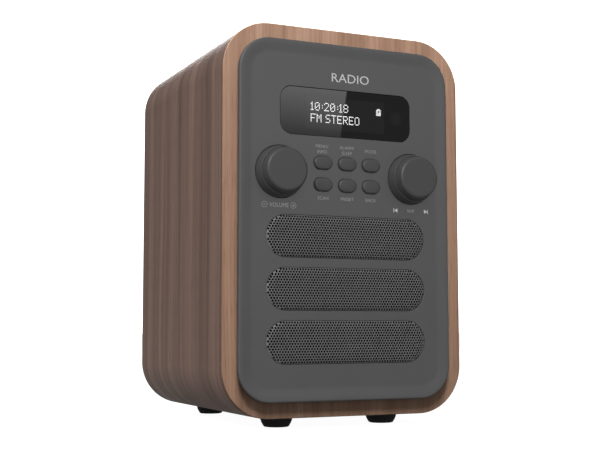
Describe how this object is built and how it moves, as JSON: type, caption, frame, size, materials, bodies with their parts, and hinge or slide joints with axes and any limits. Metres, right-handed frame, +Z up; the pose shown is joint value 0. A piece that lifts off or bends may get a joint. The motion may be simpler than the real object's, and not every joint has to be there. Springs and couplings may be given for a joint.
{
  "type": "tabletop radio",
  "caption": "Upright wooden tabletop radio with a grey front panel, display window, turning knobs, push buttons, slotted speaker grille and a folding telescopic aerial behind.",
  "frame": {"origin": "middle of the base of the radio's bounding box, on the plane that its feet stand on", "axes": "+X to the right seen from the front, -Y out of the front panel, +Z up"},
  "size_m": [0.116, 0.135, 0.1747],
  "materials": {
    "veneer_side": "satin walnut veneer, grain upright",
    "veneer_front": "satin walnut veneer, grain upright",
    "mdf": "raw fibreboard",
    "panel_grey": "matte",
    "knob_grey": "matte",
    "grille_grey": "matte paint on perforated sheet",
    "window_black": "gloss",
    "display_black": "gloss",
    "black_plastic": "matte",
    "foot_rubber": "matte",
    "surround_rubber": "matte",
    "cloth": "fine black cloth",
    "cone_paper": "pressed paper",
    "plated_steel": "zinc plated",
    "aerial_chrome": "polished",
    "magnet_black": "coated",
    "board_green": "solder resist",
    "battery_wrap": "shrink wrap",
    "red_wire": "insulation",
    "grey_ribbon": "insulation"
  },
  "bodies": {
    "cabinet": {"aerial_lead": "black_plastic", "alarm_switch": "black_plastic", "aux_socket": "black_plastic", "back_panel": "black_plastic", "back_screw_lower_left": "plated_steel", "back_screw_lower_right": "plated_steel", "back_screw_upper_left": "plated_steel", "back_screw_upper_right": "plated_steel", "back_switch": "black_plastic", "battery_pack": "battery_wrap", "cabinet_sleeve": "veneer_side", "display_module": "display_black", "display_window": "window_black", "dust_cloth": "cloth", "foot_front_left": "foot_rubber", "foot_front_right": "foot_rubber", "foot_rear_left": "foot_rubber", "foot_rear_right": "foot_rubber", "front_baffle": "mdf", "front_board": "board_green", "front_facing": "veneer_front", "front_panel": "panel_grey", "grille_lower": "grille_grey", "grille_middle": "grille_grey", "grille_upper": "grille_grey", "main_board": "board_green", "menu_switch": "black_plastic", "mode_switch": "black_plastic", "phones_socket": "black_plastic", "power_socket": "plated_steel", "preset_switch": "black_plastic", "remote_sensor": "display_black", "ribbon_cable": "grey_ribbon", "scan_switch": "black_plastic", "speaker_frame": "plated_steel", "speaker_lead": "red_wire", "speaker_magnet": "magnet_black", "speaker_surround": "surround_rubber", "tuner_module": "plated_steel", "tuning_encoder_housing": "plated_steel", "volume_encoder_housing": "plated_steel"},
    "volume_rotor": {"volume_encoder_rotor": "black_plastic"},
    "volume_knob": {"volume_knob": "knob_grey", "volume_shaft": "plated_steel"},
    "tuning_rotor": {"tuning_encoder_rotor": "black_plastic"},
    "tuning_knob": {"tuning_knob": "knob_grey", "tuning_shaft": "plated_steel"},
    "menu_button": {"menu_button": "knob_grey"},
    "alarm_button": {"alarm_button": "knob_grey"},
    "mode_button": {"mode_button": "knob_grey"},
    "scan_button": {"scan_button": "knob_grey"},
    "preset_button": {"preset_button": "knob_grey"},
    "back_button": {"back_button": "knob_grey"},
    "speaker_cone": {"speaker_cone": "cone_paper"},
    "aerial_base": {"aerial_base": "aerial_chrome"},
    "aerial_rod": {"aerial_elbow": "aerial_chrome", "aerial_tube_1": "aerial_chrome"},
    "aerial_section_2": {"aerial_tube_2": "aerial_chrome"},
    "aerial_section_3": {"aerial_tube_3": "aerial_chrome"},
    "aerial_tip": {"aerial_tip_rod": "aerial_chrome"}
  },
  "joints": [
    {"name": "volume_turn", "type": "hinge", "parent": "cabinet", "child": "volume_rotor", "pos_m": [-0.03215, -0.05755, 0.10975], "axis": [0, 1, 0], "continuous": true},
    {"name": "volume_push", "type": "slide", "parent": "volume_rotor", "child": "volume_knob", "axis": [0, 1, 0], "range_m": [0, 0.0006], "stiffness_N_per_m": 1500, "springref_m": -0.0008},
    {"name": "tuning_turn", "type": "hinge", "parent": "cabinet", "child": "tuning_rotor", "pos_m": [0.03215, -0.05755, 0.10975], "axis": [0, 1, 0], "continuous": true},
    {"name": "tuning_push", "type": "slide", "parent": "tuning_rotor", "child": "tuning_knob", "axis": [0, 1, 0], "range_m": [0, 0.0006], "stiffness_N_per_m": 1500, "springref_m": -0.0008},
    {"name": "menu_press", "type": "slide", "parent": "cabinet", "child": "menu_button", "axis": [0, 1, 0], "range_m": [0, 0.0006], "stiffness_N_per_m": 800, "springref_m": -0.001},
    {"name": "alarm_press", "type": "slide", "parent": "cabinet", "child": "alarm_button", "axis": [0, 1, 0], "range_m": [0, 0.0006], "stiffness_N_per_m": 800, "springref_m": -0.001},
    {"name": "mode_press", "type": "slide", "parent": "cabinet", "child": "mode_button", "axis": [0, 1, 0], "range_m": [0, 0.0006], "stiffness_N_per_m": 800, "springref_m": -0.001},
    {"name": "scan_press", "type": "slide", "parent": "cabinet", "child": "scan_button", "axis": [0, 1, 0], "range_m": [0, 0.0006], "stiffness_N_per_m": 800, "springref_m": -0.001},
    {"name": "preset_press", "type": "slide", "parent": "cabinet", "child": "preset_button", "axis": [0, 1, 0], "range_m": [0, 0.0006], "stiffness_N_per_m": 800, "springref_m": -0.001},
    {"name": "back_press", "type": "slide", "parent": "cabinet", "child": "back_button", "axis": [0, 1, 0], "range_m": [0, 0.0006], "stiffness_N_per_m": 800, "springref_m": -0.001},
    {"name": "cone_travel", "type": "slide", "parent": "cabinet", "child": "speaker_cone", "axis": [0, 1, 0], "range_m": [-0.0008, 0.0008], "stiffness_N_per_m": 1500},
    {"name": "aerial_swivel", "type": "hinge", "parent": "cabinet", "child": "aerial_base", "pos_m": [0.038, 0.06345, 0.1577], "axis": [0, 1, 0], "continuous": true},
    {"name": "aerial_tilt", "type": "hinge", "parent": "aerial_base", "child": "aerial_rod", "pos_m": [0.038, 0.06345, 0.1577], "axis": [1, 0, 0], "range_deg": [0, 90]},
    {"name": "aerial_draw_1", "type": "slide", "parent": "aerial_rod", "child": "aerial_section_2", "axis": [0, 0, -1], "range_m": [0, 0.095]},
    {"name": "aerial_draw_2", "type": "slide", "parent": "aerial_section_2", "child": "aerial_section_3", "axis": [0, 0, -1], "range_m": [0, 0.095]},
    {"name": "aerial_draw_3", "type": "slide", "parent": "aerial_section_3", "child": "aerial_tip", "axis": [0, 0, -1], "range_m": [0, 0.095]}
  ]
}
